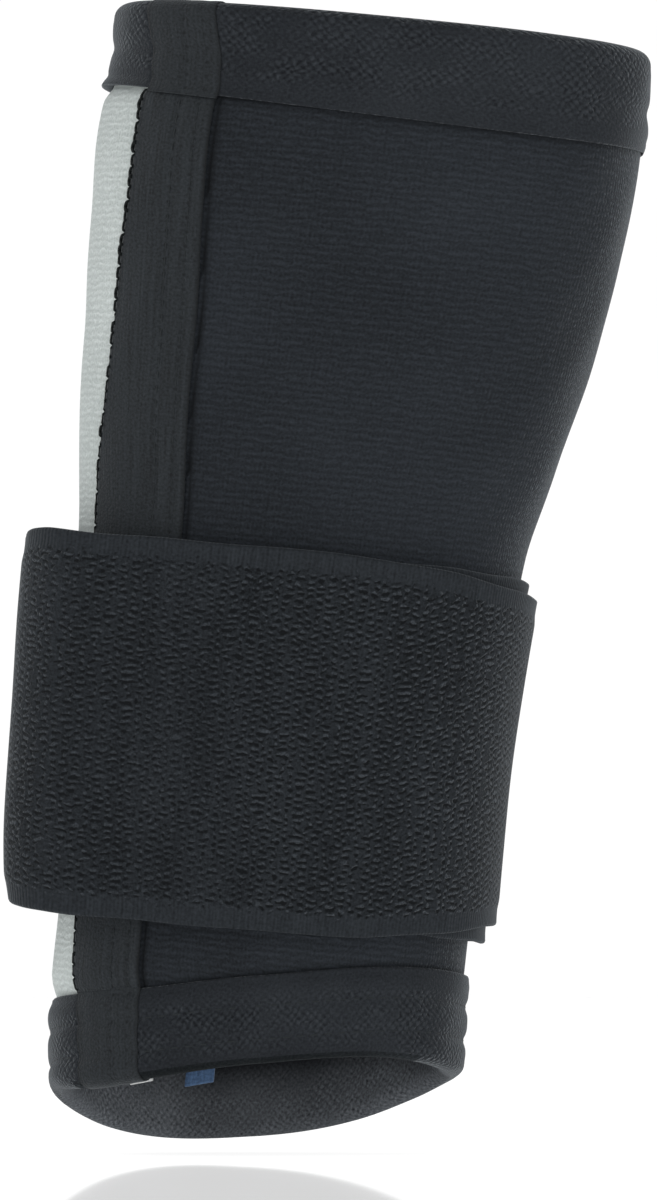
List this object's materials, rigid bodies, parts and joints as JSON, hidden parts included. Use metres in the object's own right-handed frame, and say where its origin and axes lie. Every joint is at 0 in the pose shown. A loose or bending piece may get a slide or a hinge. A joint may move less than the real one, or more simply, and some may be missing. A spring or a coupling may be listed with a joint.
{
  "type": "wrist brace",
  "caption": "Knitted wrist and forearm sleeve with folded ends, a taped seam and a wide elastic wrap strap, open from end to end for the arm.",
  "frame": {"origin": "middle of the hollow that the wrist fills, at half the strap's height", "axes": "+Z along the arm towards the wide forearm end, -Y towards the front, -X towards the seam tape"},
  "size_m": [0.0991, 0.0689, 0.1919],
  "materials": {
    "knit_black": "matt knitted cloth with fine cross ribs",
    "knit_grey": "matt light grey knitted cloth with fine cross ribs",
    "lining": "matt pebble knit, the inside of the cloth",
    "tape": "smooth woven tape with fine lengthwise ribs",
    "strap_loop": "pebbled loop-faced elastic with plain selvedges",
    "hook": "matt hook tape",
    "ribbon_blue": "woven blue ribbon, bare",
    "ribbon_white": "woven white ribbon, bare"
  },
  "bodies": {
    "root": {"main_panel": "knit_black", "side_panel": "knit_grey", "top_hem": "lining", "bottom_hem": "lining", "seam_tape": "tape", "top_hem_tape": "tape", "bottom_hem_tape": "tape", "strap": "strap_loop", "hook_tab": "hook", "size_tab": "ribbon_blue", "care_label": "ribbon_white"}
  },
  "joints": []
}
